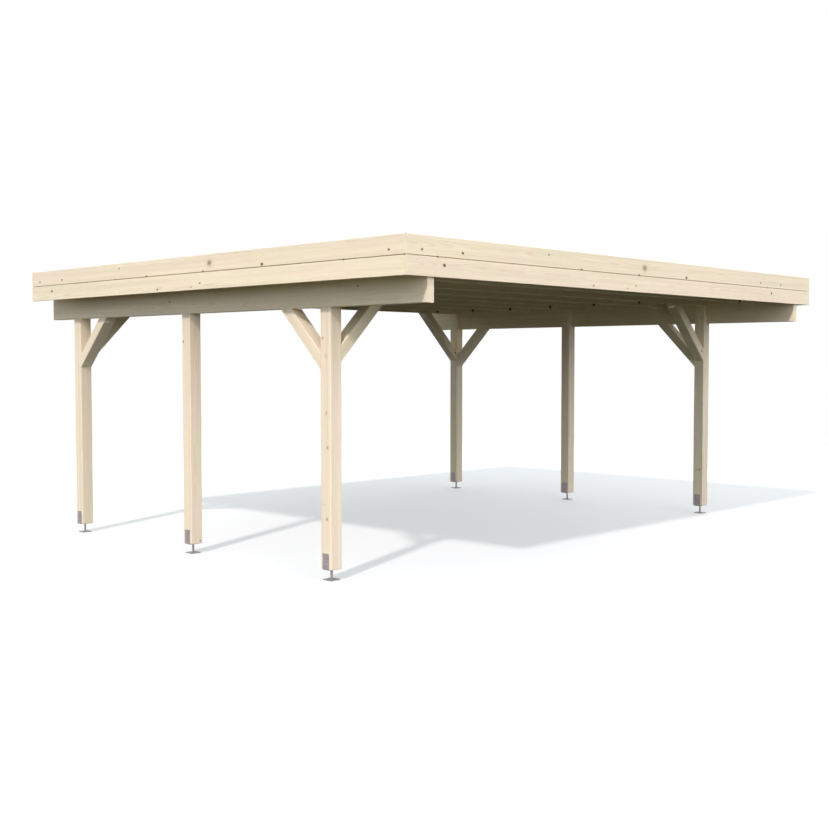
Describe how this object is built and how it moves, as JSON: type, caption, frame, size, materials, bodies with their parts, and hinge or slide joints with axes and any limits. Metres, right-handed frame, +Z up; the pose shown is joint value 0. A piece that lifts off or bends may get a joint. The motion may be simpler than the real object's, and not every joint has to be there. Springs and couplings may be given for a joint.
{
  "type": "carport",
  "caption": "Free-standing flat-roofed timber double carport on steel post anchors, with braces, board fascia and a ribbed sheet roof.",
  "frame": {"origin": "on the ground, in the middle of the roof's outline", "axes": "+X across the two rows of posts, towards the right-hand row seen from the open front; -Y towards the open front with the longer roof overhang; +Z up"},
  "size_m": [6.338, 5.44, 2.671],
  "materials": {
    "timber": "planed, untreated",
    "galvanised_steel": "hot-dip galvanised, matt",
    "roof_sheet": "mill finish, ribbed"
  },
  "bodies": {
    "root": {"beam_left": "timber", "beam_right": "timber", "fascia_batten_left": "timber", "fascia_batten_right": "timber", "fascia_front_lower": "timber", "fascia_front_upper": "timber", "fascia_left_lower": "timber", "fascia_left_upper": "timber", "fascia_right_lower": "timber", "fascia_right_upper": "timber", "long_brace_left_front": "timber", "long_brace_left_rear": "timber", "long_brace_right_front": "timber", "long_brace_right_rear": "timber", "post_anchor_left_front": "galvanised_steel", "post_anchor_left_middle": "galvanised_steel", "post_anchor_left_rear": "galvanised_steel", "post_anchor_right_front": "galvanised_steel", "post_anchor_right_middle": "galvanised_steel", "post_anchor_right_rear": "galvanised_steel", "post_left_front": "timber", "post_left_middle": "timber", "post_left_rear": "timber", "post_right_front": "timber", "post_right_middle": "timber", "post_right_rear": "timber", "rafter_1": "timber", "rafter_2": "timber", "rafter_3": "timber", "rafter_4": "timber", "rafter_5": "timber", "rafter_6": "timber", "rafter_7": "timber", "rafter_8": "timber", "rafter_9": "timber", "roof_sheet_1": "roof_sheet", "roof_sheet_2": "roof_sheet", "roof_sheet_3": "roof_sheet", "roof_sheet_4": "roof_sheet", "roof_sheet_5": "roof_sheet", "roof_sheet_6": "roof_sheet", "short_brace_left_front": "timber", "short_brace_left_rear": "timber", "short_brace_right_front": "timber", "short_brace_right_rear": "timber"}
  },
  "joints": []
}
